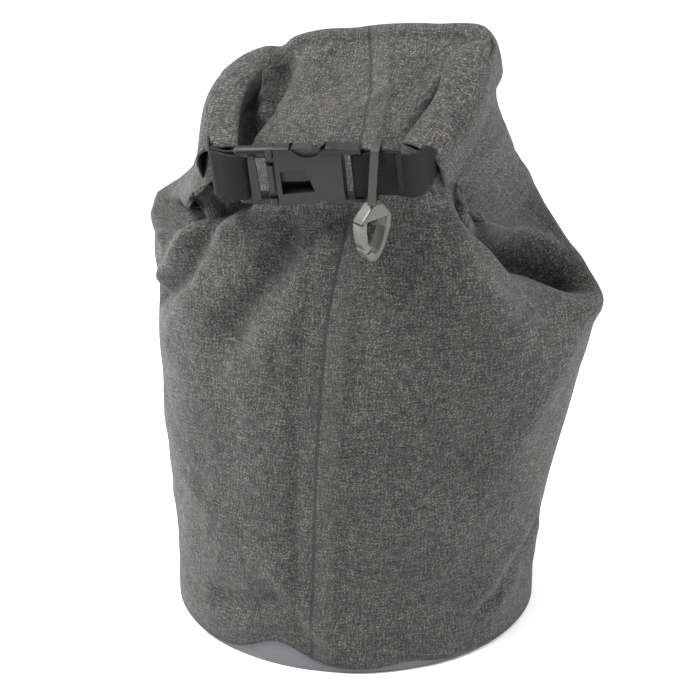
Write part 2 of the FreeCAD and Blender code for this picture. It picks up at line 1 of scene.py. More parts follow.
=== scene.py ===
import math
import bpy
import numpy as np
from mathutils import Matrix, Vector


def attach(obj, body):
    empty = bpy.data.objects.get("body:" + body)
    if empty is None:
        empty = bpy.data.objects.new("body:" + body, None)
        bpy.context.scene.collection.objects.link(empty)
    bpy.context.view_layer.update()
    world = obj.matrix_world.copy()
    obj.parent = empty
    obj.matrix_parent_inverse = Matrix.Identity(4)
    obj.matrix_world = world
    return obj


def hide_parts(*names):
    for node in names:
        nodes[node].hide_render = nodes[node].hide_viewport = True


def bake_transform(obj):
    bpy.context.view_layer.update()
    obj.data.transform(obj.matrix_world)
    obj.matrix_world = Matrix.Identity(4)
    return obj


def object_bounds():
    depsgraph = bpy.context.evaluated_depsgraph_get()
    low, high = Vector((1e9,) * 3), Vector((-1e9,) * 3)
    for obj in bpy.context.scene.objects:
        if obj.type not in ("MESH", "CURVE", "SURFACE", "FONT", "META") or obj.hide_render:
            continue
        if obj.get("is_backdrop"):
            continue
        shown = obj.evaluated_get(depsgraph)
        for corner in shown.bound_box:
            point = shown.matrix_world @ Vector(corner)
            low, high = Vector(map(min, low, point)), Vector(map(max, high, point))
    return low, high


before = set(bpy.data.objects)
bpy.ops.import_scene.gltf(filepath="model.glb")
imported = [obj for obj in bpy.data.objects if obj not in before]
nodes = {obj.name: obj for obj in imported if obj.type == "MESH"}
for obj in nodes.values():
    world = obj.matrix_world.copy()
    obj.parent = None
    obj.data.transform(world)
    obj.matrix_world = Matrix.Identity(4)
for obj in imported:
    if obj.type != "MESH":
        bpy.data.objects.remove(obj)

cad_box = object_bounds()

# ------------------------------------------------------------------ cloth
# The bag is one sewn tube.  Columns run round it (0 left side line, .25
# front, .5 right side line, .75 back), rows run up it in mm of fabric.
NC, NR = 320, 180
H_TUBE = 358.0
CIRC = 632.0

CREST = np.array([
    (-59.2, -66.4, 277.1), (-65.5, -40, 292), (-69, -18, 304),
    (-67, -4, 309.5), (-55, 3, 314), (-28, 7, 321), (0, 8, 325),
    (34, 9, 329), (58, 9, 331.5), (71, 5, 332), (76, -5, 328),
    (73, -22, 316), (66, -38, 301), (57, -54, 288), (53.4, -60.3, 282.8)],
    float) + np.array([-3.5, 0, 0])
ROLL_UP = np.array([-0.10, -0.63, 1.0])
ROLL_UP /= np.linalg.norm(ROLL_UP)

NET = {
 0.0: [(0, -101, 0, 3), (60, -102.5, 0, 62), (120, -106, 3, 121), (180, -113, 13, 181), (220, -120, 20, 218), (250, -101, -6, 229), (285, -83, -34, 240), (327, -66, -60, 253), (358, -61, -63, 279)],
 0.0625: [(0, -93, -39, 3), (60, -95, -38, 63), (120, -98, -35, 122), (180, -104, -29, 181), (220, -99, -26, 214), (250, -82, -40, 226), (285, -73, -50, 242), (327, -64, -42, 262), (358, -65, -40, 292)],
 0.125: [(0, -71, -71, 3), (60, -72, -71, 63), (120, -74, -68, 122), (180, -77, -64, 182), (220, -75, -60, 221), (250, -66, -56, 246), (285, -54, -40, 266), (327, -54, -18, 285), (358, -61, 1, 312)],
 0.1875: [(0, -38.6, -93, 3), (60, -39, -93, 63), (120, -38, -89, 122), (180, -36, -83, 183), (220, -34, -77, 222), (250, -32, -70, 250), (285, -28, -56, 276), (327, -28, -22, 300), (358, -28, 7, 321)],
 0.25: [(0, 0, -101, 3), (60, 0, -100, 63), (120, 1, -96, 123), (180, 3, -89, 183), (220, 4, -82, 222), (250, 4, -74, 250), (285, 4, -60, 280), (327, 3, -25, 303), (358, 3, 8, 325)],
 0.3125: [(0, 38.6, -93, 3), (60, 39, -92, 63), (120, 42, -88, 122), (180, 44, -80, 183), (220, 43, -72, 221), (250, 40, -65, 249), (285, 36, -54, 276), (327, 36, -22, 303), (358, 36, 9, 329)],
 0.375: [(0, 71, -71, 3), (60, 73, -70, 63), (120, 79, -66, 122), (180, 87, -58, 180), (220, 84, -50, 218), (250, 73, -46, 245), (285, 60, -34, 270), (327, 60, -12, 297), (358, 66, 8, 331)],
 0.4375: [(0, 93, -39, 3), (60, 98, -38, 63), (120, 108, -34, 122), (165, 117, -24, 165), (195, 108, -10, 190), (225, 92, -14, 208), (250, 80, -28, 228), (285, 70, -42, 247), (327, 63, -36, 272), (358, 74, -20, 315)],
 0.5: [(0, 101, 0, 3), (60, 107, 0, 62), (120, 120, 5, 121), (165, 130, 15, 164), (192, 134, 20, 187), (242, 95, 18, 220), (290, 74, -22, 240), (330, 58, -52, 259), (358, 57, -54, 288)],
 0.5625: [(0, 93, 39, 3), (60, 98, 40, 63), (120, 108, 42, 121), (165, 118, 44, 165), (200, 115, 40, 198), (245, 97, 26, 238), (285, 86, 6, 265), (327, 80, -16, 288), (358, 74, -20, 315)],
 0.625: [(0, 71, 71, 3), (60, 73, 73, 63), (120, 78, 74, 122), (180, 86, 70, 181), (220, 83, 58, 216), (250, 77, 44, 246), (285, 72, 28, 275), (327, 70, 16, 300), (358, 66, 8, 331)],
 0.6875: [(0, 38.6, 93, 3), (60, 39, 94, 63), (120, 40, 93, 122), (180, 42, 85, 182), (220, 42, 72, 219), (250, 40, 58, 246), (285, 38, 40, 277), (327, 37, 25, 303), (358, 36, 9, 329)],
 0.75: [(0, 0, 101, 3), (60, 0, 101, 63), (120, 0, 99, 123), (180, 0, 90, 182), (220, 0, 76, 219), (250, 0, 60, 245), (285, 0, 42, 273), (327, 2, 26, 300), (358, 3, 8, 325)],
 0.8125: [(0, -38.6, 93, 3), (60, -39, 94, 63), (120, -40, 93, 122), (180, -42, 86, 182), (220, -41, 74, 219), (250, -38, 60, 245), (285, -34, 42, 273), (327, -30, 26, 297), (358, -28, 7, 321)],
 0.875: [(0, -71, 71, 3), (60, -72, 73, 63), (120, -76, 74, 122), (180, -82, 70, 181), (220, -80, 60, 217), (250, -74, 46, 243), (285, -68, 28, 268), (327, -64, 14, 286), (358, -61, 1, 312)],
 0.9375: [(0, -93, 39, 3), (60, -95, 40, 63), (120, -99, 42, 122), (180, -106, 44, 181), (218, -106, 40, 216), (250, -92, 24, 241), (285, -80, 0, 258), (327, -72, -26, 268), (358, -65, -40, 292)],
}


def catmull(P, n):
    """n points evenly spaced along a smooth open line through P."""
    P = np.asarray(P, float)
    Q = np.vstack([2 * P[0] - P[1], P, 2 * P[-1] - P[-2]])
    out = []
    for i in range(1, len(Q) - 2):
        t = np.linspace(0, 1, 24, endpoint=False)[:, None]
        p0, p1, p2, p3 = Q[i - 1], Q[i], Q[i + 1], Q[i + 2]
        out.append(0.5 * (2 * p1 + (p2 - p0) * t
                          + (2 * p0 - 5 * p1 + 4 * p2 - p3) * t ** 2
                          + (3 * p1 - p0 - 3 * p2 + p3) * t ** 3))
    out = np.vstack(out + [Q[-2][None]])
    d = np.r_[0, np.cumsum(np.linalg.norm(np.diff(out, axis=0), axis=1))]
    s = np.linspace(0, d[-1], n)
    return np.stack([np.interp(s, d, out[:, k]) for k in range(out.shape[1])], 1)


def crest_at(t):
    """Point, tangent and outward direction at t (0 left end, 1 right end)."""
    L = catmull(CREST, 401)
    T = np.gradient(L, axis=0)
    T /= np.linalg.norm(T, axis=1)[:, None]
    O = np.cross(ROLL_UP, T)
    O /= np.linalg.norm(O, axis=1)[:, None]
    k = np.clip(np.asarray(t) * 400, 0, 400)
    f = lambda A: np.stack([np.interp(k, np.arange(401), A[:, a])
                            for a in range(3)], -1)
    o = f(O)
    o /= np.linalg.norm(o, axis=-1, keepdims=True)
    return f(L), f(T), o


def arm(t):
    """1 on the two arms of the rolled mouth, 0 at the back."""
    t = np.asarray(t, float)
    return np.maximum(1 - smooth(0.16, 0.36, t), smooth(0.64, 0.84, t))


def cloth_crest(t):
    """The fold line of the cloth: the arms are fatter, and fatten inwards."""
    L, T, O = crest_at(t)
    e = arm(t)[..., None]
    t = np.asarray(t, float)[..., None]
    dip = (4.0 * np.exp(-((t - 0.315) / 0.022) ** 2)
           + 3.0 * np.exp(-((t - 0.735) / 0.020) ** 2)
           + 3.2 * np.exp(-((t - 0.70) / 0.11) ** 2)
           + 1.0 * np.exp(-((t - 0.47) / 0.03) ** 2)
           + 0.8 * np.exp(-((t - 0.62) / 0.03) ** 2))
    nip = (10.0 * np.exp(-((t - 0.255) / 0.095) ** 2)
           - 7.5 * np.exp(-((t - 0.765) / 0.085) ** 2))
    P = L - O * (5.0 + 11.0 * e) - ROLL_UP * (3.6 + dip)
    return P + nip * np.array([1.0, 0, 0]), T, O


def smooth(a, b, x):
    t = np.clip((x - a) / (b - a), 0, 1)
    return t * t * (3 - 2 * t)


def start_grid():
    cols = sorted(NET)
    v = np.linspace(0, H_TUBE, NR)
    K = np.zeros((len(cols), NR, 3))
    for a, c in enumerate(cols):
        p = np.array(NET[c], float)
        p[:, 1] += -3.5 * np.clip(p[:, 0] / 300, 0, 1)
        line = catmull(p, 400)
        line[:, 0] = np.maximum.accumulate(line[:, 0] + np.arange(400) * 1e-7)
        for k in range(3):
            K[a, :, k] = np.interp(v, line[:, 0], line[:, 1 + k])
    n = len(cols)
    G = np.zeros((NC, NR, 3))
    for i in range(NC):
        c = i / NC * n
        a = int(c)
        t = c - a
        p0, p1, p2, p3 = K[(a - 1) % n], K[a % n], K[(a + 1) % n], K[(a + 2) % n]
        G[i] = 0.5 * (2 * p1 + (p2 - p0) * t
                      + (2 * p0 - 5 * p1 + 4 * p2 - p3) * t ** 2
                      + (3 * p1 - p0 - 3 * p2 + p3) * t ** 3)
    th = np.pi + 2 * np.pi * np.arange(NC) / NC
    w = 1 - smooth(0, 30, v)[None]
    G[:, :, 0] += (100.8 * np.cos(th)[:, None] - G[:, :, 0]) * w
    G[:, :, 1] += (100.8 * np.sin(th)[:, None] - G[:, :, 1]) * w
    return G


def normals(G):
    dc = np.roll(G, -1, 0) - np.roll(G, 1, 0)
    dr = np.gradient(G, axis=1)
    N = np.cross(dc, dr)
    return N / (np.linalg.norm(N, axis=2, keepdims=True) + 1e-9)


C = np.arange(NC) / NC
VV = np.linspace(0, H_TUBE, NR)
CC, RR = np.meshgrid(C, VV, indexing="ij")


def line_distance(line):
    """Distance in mm of fabric from a line of (column, row) points."""
    best = np.full(CC.shape, 1e9)
    for (c0, v0), (c1, v1) in zip(line, line[1:]):
        ax, ay = c0 * CIRC, v0
        bx, by = c1 * CIRC, v1
        dx, dy = bx - ax, by - ay
        ll = dx * dx + dy * dy + 1e-9
        for wrap in (-CIRC, 0, CIRC):
            px, py = CC * CIRC + wrap - ax, RR - ay
            t = np.clip((px * dx + py * dy) / ll, 0, 1)
            best = np.minimum(best, np.hypot(px - t * dx, py - t * dy))
    return best


# folds: (depth in mm, width in mm, line of (column, row in mm))
FOLDS = [
    (-9.5, 9, [(0.222, 236), (0.202, 209), (0.172, 180)]),
    (3.5, 9, [(0.252, 228), (0.236, 202), (0.208, 174)]),
    (-1.3, 8, [(0.125, 166), (0.180, 172), (0.238, 176), (0.330, 172)]),
    (-4.2, 6, [(0.500, 55), (0.458, 41), (0.429, 32), (0.399, 14)]),
    (1.8, 7, [(0.470, 62), (0.435, 50), (0.400, 34)]),
    (-5.0, 9, [(0.160, 24), (0.190, 28), (0.216, 34)]),
    (3.4, 8, [(0.222, 56), (0.248, 32), (0.272, 10)]),
    (-17.0, 11, [(0.025, 262), (0.080, 252), (0.130, 247), (0.165, 252)]),
    (6.0, 7, [(0.005, 240), (0.045, 226), (0.080, 222)]),
    (3.5, 6, [(0.183, 252), (0.161, 234)]),
    (-7.0, 5.5, [(0.143, 240), (0.138, 222), (0.125, 203), (0.100, 190), (0.06, 177)]),
    (3.2, 6, [(0.118, 226), (0.100, 206), (0.080, 194)]),
    (-2.0, 4, [(0.030, 210), (0.065, 200)]),
    (-24.0, 12, [(0.390, 252), (0.425, 245), (0.460, 231), (0.482, 210)]),
    (3.5, 9, [(0.339, 230), (0.363, 213), (0.395, 194)]),
    (3.0, 6, [(0.340, 264), (0.385, 272), (0.440, 268), (0.480, 250), (0.500, 226)]),
    (-1.8, 6, [(0.226, 322), (0.238, 283)]),
    (2.2, 8, [(0.333, 350), (0.327, 335), (0.318, 306)]),
    (-2.6, 8, [(0.345, 344), (0.357, 322)]),
    (-9.0, 7, [(0.160, 358), (0.166, 335), (0.160, 318), (0.148, 305), (0.130, 298)]),
    (5.0, 6, [(0.130, 352), (0.142, 334), (0.146, 322)]),
    (3.0, 8, [(0.196, 352), (0.194, 334), (0.186, 316)]),
    (-7.0, 7, [(0.368, 358), (0.374, 344), (0.380, 326)]),
    (-2.4, 10, [(0.215, 346), (0.235, 336)]),
    (-2.6, 4, [(0.244, 240), (0.240, 200), (0.236, 150), (0.238, 90), (0.240, 20)]),
    (1.6, 10, [(0.298, 241), (0.292, 203), (0.310, 173)]),
    (-2.0, 12, [(0.351, 188), (0.375, 139), (0.375, 94)]),
    (-1.5, 13, [(0.161, 165), (0.179, 124), (0.173, 64)]),
    (-5.0, 14, [(0.640, 262), (0.690, 230), (0.740, 224)]),
    (3.0, 11, [(0.660, 286), (0.700, 252), (0.730, 246)]),
    (-5.0, 13, [(0.880, 258), (0.830, 232), (0.790, 224)]),
    (-3.0, 12, [(0.560, 150), (0.600, 120), (0.650, 70)]),
    (-3.0, 12, [(0.940, 160), (0.900, 120), (0.880, 60)]),
    (2.5, 12, [(0.780, 150), (0.740, 110), (0.720, 40)]),
]


def crumple(seed, count, size, amp):
    """Many short soft creases, as in a coated cloth that has been handled."""
    rng = np.random.RandomState(seed)
    out = np.zeros(CC.shape)
    for _ in range(count):
        c, v = rng.rand(), rng.rand() * H_TUBE
        a = rng.rand() * np.pi
        ln = size * (0.6 + rng.rand() * 1.2)
        wd = size * (0.18 + 0.14 * rng.rand())
        dx = (CC - c + 0.5) % 1.0 - 0.5
        dx = dx * CIRC
        dy = RR - v
        p = dx * np.cos(a) + dy * np.sin(a)
        q = -dx * np.sin(a) + dy * np.cos(a)
        out += (rng.rand() * 2 - 1) * np.exp(-(p / ln) ** 2 - (q / wd) ** 2)
    return out / (out.std() + 1e-9) * amp


G = start_grid()
N = normals(G)
D = np.zeros(CC.shape)
for depth, width, line in FOLDS:
    D += depth * np.exp(-(line_distance(line) / width) ** 2)
D += crumple(11, 90, 46, 0.95)
D += crumple(12, 260, 20, 0.33)
top = smooth(200, 290, RR)
D += crumple(13, 200, 15, 0.45) * top
# lap seam: the right-hand panel lies over the left one, 11 mm wide
SEAM = [(0.2515, 0), (0.255, 60), (0.2560, 150), (0.2580, 190), (0.263, 215),
        (0.269, 235), (0.277, 262), (0.280, 300), (0.274, 322), (0.262, 340),
        (0.2500, 358)]
seam_c = np.interp(RR, [p[1] for p in SEAM], [p[0] for p in SEAM])
seam_u = (CC - seam_c) * CIRC
D += 1.3 * smooth(-1.0, 0.6, seam_u) * (1 - smooth(9.0, 13.0, seam_u))
keep = smooth(2, 22, RR)
D = D * (0.12 + 0.88 * keep)
# the two layers stay together inside the roll
back = smooth(0.5, 0.53, CC) * (1 - smooth(0.97, 1.0, CC))
D = D * (1 - back * smooth(300, 330, RR))
D = D * (1 - 0.8 * smooth(350, 358, RR))
G = G + N * D[..., None]

# crest row of the front layer, and the back layer just behind it
tt = np.clip(C / 0.5, 0, 1)
L, T, O = cloth_crest(tt)
front = C <= 0.5
e_col = arm(tt)
fix0 = smooth(300, 358, VV)[None, :]
fix1 = smooth(322, 354, VV)[None, :]
fixf = (fix0 + (fix1 - fix0) * e_col[:, None])[..., None]
G[front] += ((L[front] - G[front][:, -1])[:, None] * fixf[front])
fix = smooth(300, 358, VV)[None, :, None]
tb = np.clip((1 - C) / 0.5, 0, 1)
Lb, Tb, Ob = crest_at(tb)
rear = ~front
target = Lb[rear] + Ob[rear] * 0.5 - ROLL_UP * 8.0
G[rear] += ((target - G[rear][:, -1])[:, None] * fix)

# the hem lifts off the base at the front left and a little further right
ang = CC
lift = (12.0 * np.exp(-((ang - 0.222) / 0.032) ** 2)
        + 3.0 * np.exp(-((ang - 0.335) / 0.020) ** 2)
        + 1.5 * np.exp(-((ang - 0.62) / 0.050) ** 2)
        + 2.0 * np.exp(-((ang - 0.86) / 0.040) ** 2))
G[..., 2] += lift * (1 - smooth(0, 34, RR))
G[..., 2] = np.maximum(G[..., 2], 1.2)
# the cloth stays outside the welded rim of the base
rad = np.hypot(G[..., 0], G[..., 1])
low = 1 - smooth(17, 27, G[..., 2])
push = np.maximum(101.4 - rad, 0) / rad * low
G[..., 0] *= 1 + push
G[..., 1] *= 1 + push

# ------------------------------------------------------------------ roll
SPIRAL = np.array([
    (0, 0), (2.2, 1.8), (6, 2.2), (10.2, 0.4), (12.3, -4), (12.9, -10),
    (12.8, -17), (12.2, -24), (10.0, -29), (6, -31), (2.8, -29.4), (1.8, -24),
    (1.8, -12), (2.6, -5), (5.2, -2.6), (8.4, -4.4), (9.7, -9), (9.6, -19),
    (8.6, -24.6), (6.2, -26.6), (4.4, -23), (4.3, -13), (5.0, -7.6),
    (6.6, -8.2), (7.2, -14), (6.6, -20)], float)
NS = 110
SP = catmull(SPIRAL, NS)
nf = int(front.sum())
ts = tt[front]
Lf, Tf, Of = cloth_crest(ts)
end = arm(ts)
rng = np.random.RandomState(5)
wob = np.zeros((nf, NS))
for k in range(26):
    a, b = rng.rand() * 1.0, rng.rand()
    s1, s2 = 0.03 + 0.07 * rng.rand(), 0.10 + 0.25 * rng.rand()
    sl = (rng.rand() - 0.5) * 0.5
    ss = np.arange(NS)[None] / NS
    wob += (rng.rand() * 2 - 1) * np.exp(-((ts[:, None] - a - sl * ss) / s1) ** 2
                                        - ((ss - b) / s2) ** 2)
wob *= 0.9
thick = 1 + 0.85 * end
ROLL = np.zeros((nf, NS, 3))
s_in = np.arange(NS) / (NS - 1)
for j in range(NS):
    o, u = SP[j]
    w = wob[:, j] * smooth(0.0, 0.06, s_in[j])
    oo = o * thick + w * (1 if o > 6 else -0.3)
    uu = u * (1 + 0.03 * end) + 0.35 * wob[:, j] * smooth(0.0, 0.06, s_in[j])
    ROLL[:, j] = Lf + Of * oo[:, None] + ROLL_UP * uu[:, None]
seam_r = np.full((nf, NS), 0.0)


def lay_faces(nc, nr, closed, base=0):
    F = []
    for i in range(nc if closed else nc - 1):
        j = (i + 1) % nc
        for r in range(nr - 1):
            F.append((base + i * nr + r, base + j * nr + r,
                      base + j * nr + r + 1, base + i * nr + r + 1))
    return F


def finish_mesh(name, pts, faces, uv=None, extra=None, smooth_faces=True):
    me = bpy.data.meshes.new(name)
    me.from_pydata((np.asarray(pts) * 0.001).tolist(), [], faces)
    me.update()
    if smooth_faces:
        me.polygons.foreach_set("use_smooth", [True] * len(me.polygons))
    if uv is not None:
        layer = me.uv_layers.new(name="cloth")
        layer.data.foreach_set("uv", np.asarray(uv, float).ravel())
    for key, val in (extra or {}).items():
        at = me.attributes.new(key, "FLOAT", "POINT")
        at.data.foreach_set("value", np.asarray(val, np.float32))
    o = bpy.data.objects.new(name, me)
    bpy.context.scene.collection.objects.link(o)
    return o


def loop_uv(faces, U, V, wrap):
    """UVs in mm, with the closing column carried past the end."""
    out = []
    for f in faces:
        us = [U[i] for i in f]
        hi = max(us)
        for i, u in zip(f, us):
            out.append(((u + wrap if hi - u > wrap * 0.5 else u) * 0.01,
                        V[i] * 0.01))
    return out


tube_f = lay_faces(NC, NR, True)
base_i = NC * NR
# roll rows 1.. join the tube's top row on the front columns
fidx = np.where(front)[0]
roll_pts = ROLL[:, 1:]
nrr = NS - 1
roll_f = []
for a in range(nf - 1):
    i0, i1 = fidx[a], fidx[a + 1]
    roll_f.append((i0 * NR + NR - 1, i1 * NR + NR - 1,
                   base_i + (a + 1) * nrr, base_i + a * nrr))
    for r in range(nrr - 1):
        roll_f.append((base_i + a * nrr + r, base_i + (a + 1) * nrr + r,
                       base_i + (a + 1) * nrr + r + 1, base_i + a * nrr + r + 1))
pts = np.vstack([G.reshape(-1, 3), roll_pts.reshape(-1, 3)])
U = np.r_[(CC * CIRC).ravel(), np.repeat(C[front] * CIRC, nrr)]
slen = np.linalg.norm(np.diff(SP, axis=0), axis=1).cumsum()
V = np.r_[RR.ravel(), np.tile(H_TUBE + slen, nf)]
seam_attr = np.r_[seam_u.ravel(), np.repeat((C[front] - 0.25) * CIRC, nrr)]
faces = tube_f + roll_f
cloth = finish_mesh("bag_fabric", pts, faces, loop_uv(faces, U, V, CIRC),
                    {"seam": seam_attr, "rise": V})
mod = cloth.modifiers.new("thickness", "SOLIDIFY")
mod.thickness = 0.0010
mod.offset = -1.0
mod.use_even_offset = False

# ------------------------------------------------------------------ materials


def new_mat(name):
    m = bpy.data.materials.new(name)
    m.use_nodes = True
    nt = m.node_tree
    nt.nodes.clear()
    out = nt.nodes.new("ShaderNodeOutputMaterial")
    b = nt.nodes.new("ShaderNodeBsdfPrincipled")
    nt.links.new(b.outputs[0], out.inputs[0])
    return m, nt, b


class Net:
    """Short helpers to write node trees."""

    def __init__(self, nt):
        self.nt = nt

    def put(self, sock, v):
        if hasattr(v, "links") or isinstance(v, bpy.types.NodeSocket):
            self.nt.links.new(v, sock)
        else:
            sock.default_value = v

    def math(self, op, a, b=0.0, c=None, clamp=False):
        n = self.nt.nodes.new("ShaderNodeMath")
        n.operation = op
        n.use_clamp = clamp
        self.put(n.inputs[0], a)
        self.put(n.inputs[1], b)
        if c is not None:
            self.put(n.inputs[2], c)
        return n.outputs[0]

    def noise(self, vec, scale, detail=2.0, rough=0.5, dist=0.0):
        n = self.nt.nodes.new("ShaderNodeTexNoise")
        self.nt.links.new(vec, n.inputs["Vector"])
        n.inputs["Scale"].default_value = scale
        n.inputs["Detail"].default_value = detail
        n.inputs["Roughness"].default_value = rough
        n.inputs["Distortion"].default_value = dist
        return n.outputs[0]

    def scale(self, vec, s):
        n = self.nt.nodes.new("ShaderNodeVectorMath")
        n.operation = "MULTIPLY"
        self.nt.links.new(vec, n.inputs[0])
        n.inputs[1].default_value = s
        return n.outputs[0]

    def dot(self, vec, d):
        n = self.nt.nodes.new("ShaderNodeVectorMath")
        n.operation = "DOT_PRODUCT"
        self.nt.links.new(vec, n.inputs[0])
        n.inputs[1].default_value = d
        return n.outputs["Value"]

    def ramp(self, fac, stops):
        n = self.nt.nodes.new("ShaderNodeValToRGB")
        self.nt.links.new(fac, n.inputs[0])
        el = n.color_ramp.elements
        while len(el) < len(stops):
            el.new(0.5)
        for e, (p, col) in zip(el, stops):
            e.position = p
            e.color = (*col, 1)
        return n.outputs[0]

    def mix(self, fac, a, b, mode="MIX"):
        n = self.nt.nodes.new("ShaderNodeMix")
        n.data_type = "RGBA"
        n.blend_type = mode
        self.put(n.inputs[0], fac)
        self.put(n.inputs[6], a)
        self.put(n.inputs[7], b)
        return n.outputs[2]

    def attr(self, name):
        n = self.nt.nodes.new("ShaderNodeAttribute")
        n.attribute_name = name
        return n.outputs["Fac"]

    def span(self, v, a, b, c=0.0, d=1.0):
        n = self.nt.nodes.new("ShaderNodeMapRange")
        n.interpolation_type = "SMOOTHSTEP"
        self.put(n.inputs[0], v)
        for i, x in enumerate((a, b, c, d)):
            n.inputs[1 + i].default_value = x
        return n.outputs[0]

    def bump(self, height, strength, distance, normal=None):
        n = self.nt.nodes.new("ShaderNodeBump")
        self.nt.links.new(height, n.inputs["Height"])
        n.inputs["Strength"].default_value = strength
        n.inputs["Distance"].default_value = distance
        if normal is not None:
            self.nt.links.new(normal, n.inputs["Normal"])
        return n.outputs[0]


def heather():
    """Coated melange polyester: light and dark yarns, twill, slubs."""
    m, nt, b = new_mat("heather_fabric")
    k = Net(nt)
    uvn = nt.nodes.new("ShaderNodeUVMap")
    uvn.uv_map = "cloth"
    uv = uvn.outputs[0]                      # 1 unit = 100 mm
    blotch = k.noise(uv, 3.0, 3.0, 0.55)
    sep = nt.nodes.new("ShaderNodeSeparateXYZ")
    nt.links.new(uv, sep.inputs[0])
    pitch = 0.0050                           # one yarn each 0.50 mm
    su = k.math("DIVIDE", sep.outputs[0], pitch)
    sv = k.math("DIVIDE", sep.outputs[1], pitch)
    iu, iv = k.math("FLOOR", su), k.math("FLOOR", sv)

    def vec(x, y, z):
        n = nt.nodes.new("ShaderNodeCombineXYZ")
        for sock, val in zip(n.inputs, (x, y, z)):
            k.put(sock, val)
        return n.outputs[0]

    def yarn(along, index, z):
        long_ = k.noise(vec(k.math("MULTIPLY", along, 22.0),
                            k.math("MULTIPLY", index, 1.37), z), 1.0, 1.5, 0.5)
        return long_

    weft = yarn(sep.outputs[0], iv, 0.0)
    warp = yarn(sep.outputs[1], iu, 40.0)
    # 2/2 twill: which of the two yarns lies on top
    step = k.math("FLOORED_MODULO", k.math("ADD", iu, iv), 4.0)
    over = k.math("LESS_THAN", step, 1.5)
    f = k.math("ADD", k.math("MULTIPLY", warp, over),
               k.math("MULTIPLY", weft, k.math("SUBTRACT", 1.0, over)))
    hu = k.math("SINE", k.math("MULTIPLY", k.math("FRACT", su), math.pi))
    hv = k.math("SINE", k.math("MULTIPLY", k.math("FRACT", sv), math.pi))
    twill = k.math("ADD", k.math("MULTIPLY", hu, over),
                   k.math("MULTIPLY", hv, k.math("SUBTRACT", 1.0, over)))
    shade = k.math("MULTIPLY_ADD", twill, 0.10, k.math("SUBTRACT", f, 0.07))
    col = k.ramp(shade, [(0.33, (0.0070, 0.0069, 0.0070)), (0.45, (0.0215, 0.0209, 0.0203)),
                         (0.56, (0.045, 0.0433, 0.0412)), (0.69, (0.104, 0.0998, 0.094))])
    tone = k.span(blotch, 0.30, 0.70, 0.90, 1.10)
    tn = nt.nodes.new("ShaderNodeVectorMath")
    tn.operation = "SCALE"
    nt.links.new(col, tn.inputs[0])
    nt.links.new(tone, tn.inputs["Scale"])
    col = tn.outputs[0]
    # lap seam edge: thin dark line of painted shade at the foot of the lapped edge, and a faint pressed band
    # beside it
    s = k.attr("seam")
    seam_step_shade = k.math("MULTIPLY", k.span(s, -2.2, -0.5), k.span(s, 0.2, 0.8, 1.0, 0.0))
    weld = k.math("MULTIPLY", k.span(s, 0.6, 1.4), k.span(s, 10.0, 11.0, 1.0, 0.0))
    col = k.mix(k.math("MULTIPLY", seam_step_shade, 0.92), col, (0.012, 0.012, 0.012, 1))
    col = k.mix(k.math("MULTIPLY", weld, 0.16), col, (0.075, 0.073, 0.07, 1))
    # hem weld line above the base
    r = k.attr("rise")
    hem = k.math("MULTIPLY", k.span(r, 0.0, 1.2), k.span(r, 1.6, 2.8, 1.0, 0.0))
    col = k.mix(k.math("MULTIPLY", hem, 0.4), col, (0.02, 0.02, 0.02, 1))
    nt.links.new(col, b.inputs["Base Color"])
    rg = k.span(f, 0.30, 0.70, 0.84, 0.66)
    nt.links.new(rg, b.inputs["Roughness"])
    b.inputs["Specular IOR Level"].default_value = 0.25
    b.inputs["Sheen Weight"].default_value = 0.05
    b.inputs["Sheen Roughness"].default_value = 0.5
    h = k.math("MULTIPLY_ADD", f, 0.6, twill)
    n1 = k.bump(h, 0.5, 0.00022)
    fine = k.noise(k.scale(uv, (12.0, 12.0, 1)), 1.0, 4.0, 0.6)
    n2 = k.bump(fine, 0.35, 0.0016, n1)
    n3 = k.bump(k.span(s, -0.35, 0.35), 0.6, 0.0007, n2)
    nt.links.new(n3, b.inputs["Normal"])
    return m


def obj_vec(nt):
    n = nt.nodes.new("ShaderNodeTexCoord")
    return n.outputs["Object"]


BU = (0.99267, 0.10433, 0.06105)
BV = (-0.03175, -0.26229, 0.96447)
BW = (0.11664, -0.95933, -0.25705)


def webbing(name, c0, c1):
    """Black polyester webbing: long ribs and cross picks."""
    m, nt, b = new_mat(name)
    k = Net(nt)
    p = obj_vec(nt)
    v = k.dot(p, BV)
    u = k.dot(p, BU)
    w = k.dot(p, BW)
    rib = k.math("SINE", k.math("MULTIPLY", v, 2 * math.pi / 0.0017))
    alt = k.math("SIGN", rib)
    run = k.math("ADD", u, k.math("MULTIPLY", w, 0.9))
    pick = k.math("SINE", k.math("MULTIPLY_ADD", alt, 1.57,
                                 k.math("MULTIPLY", run, 2 * math.pi / 0.0013)))
    h = k.math("MULTIPLY_ADD", k.math("ABSOLUTE", rib), 0.7,
               k.math("MULTIPLY_ADD", pick, 0.22, 0.3))
    fz = k.noise(p, 900.0, 2.0, 0.6)
    f = k.math("MULTIPLY_ADD", fz, 0.30, k.math("MULTIPLY", h, 0.62))
    col = k.ramp(f, [(0.25, c0), (0.75, c1)])
    nt.links.new(col, b.inputs["Base Color"])
    b.inputs["Roughness"].default_value = 0.78
    b.inputs["Specular IOR Level"].default_value = 0.09
    nt.links.new(k.bump(h, 1.0, 0.00050, k.bump(fz, 0.3, 0.0002)), b.inputs["Normal"])
    return m


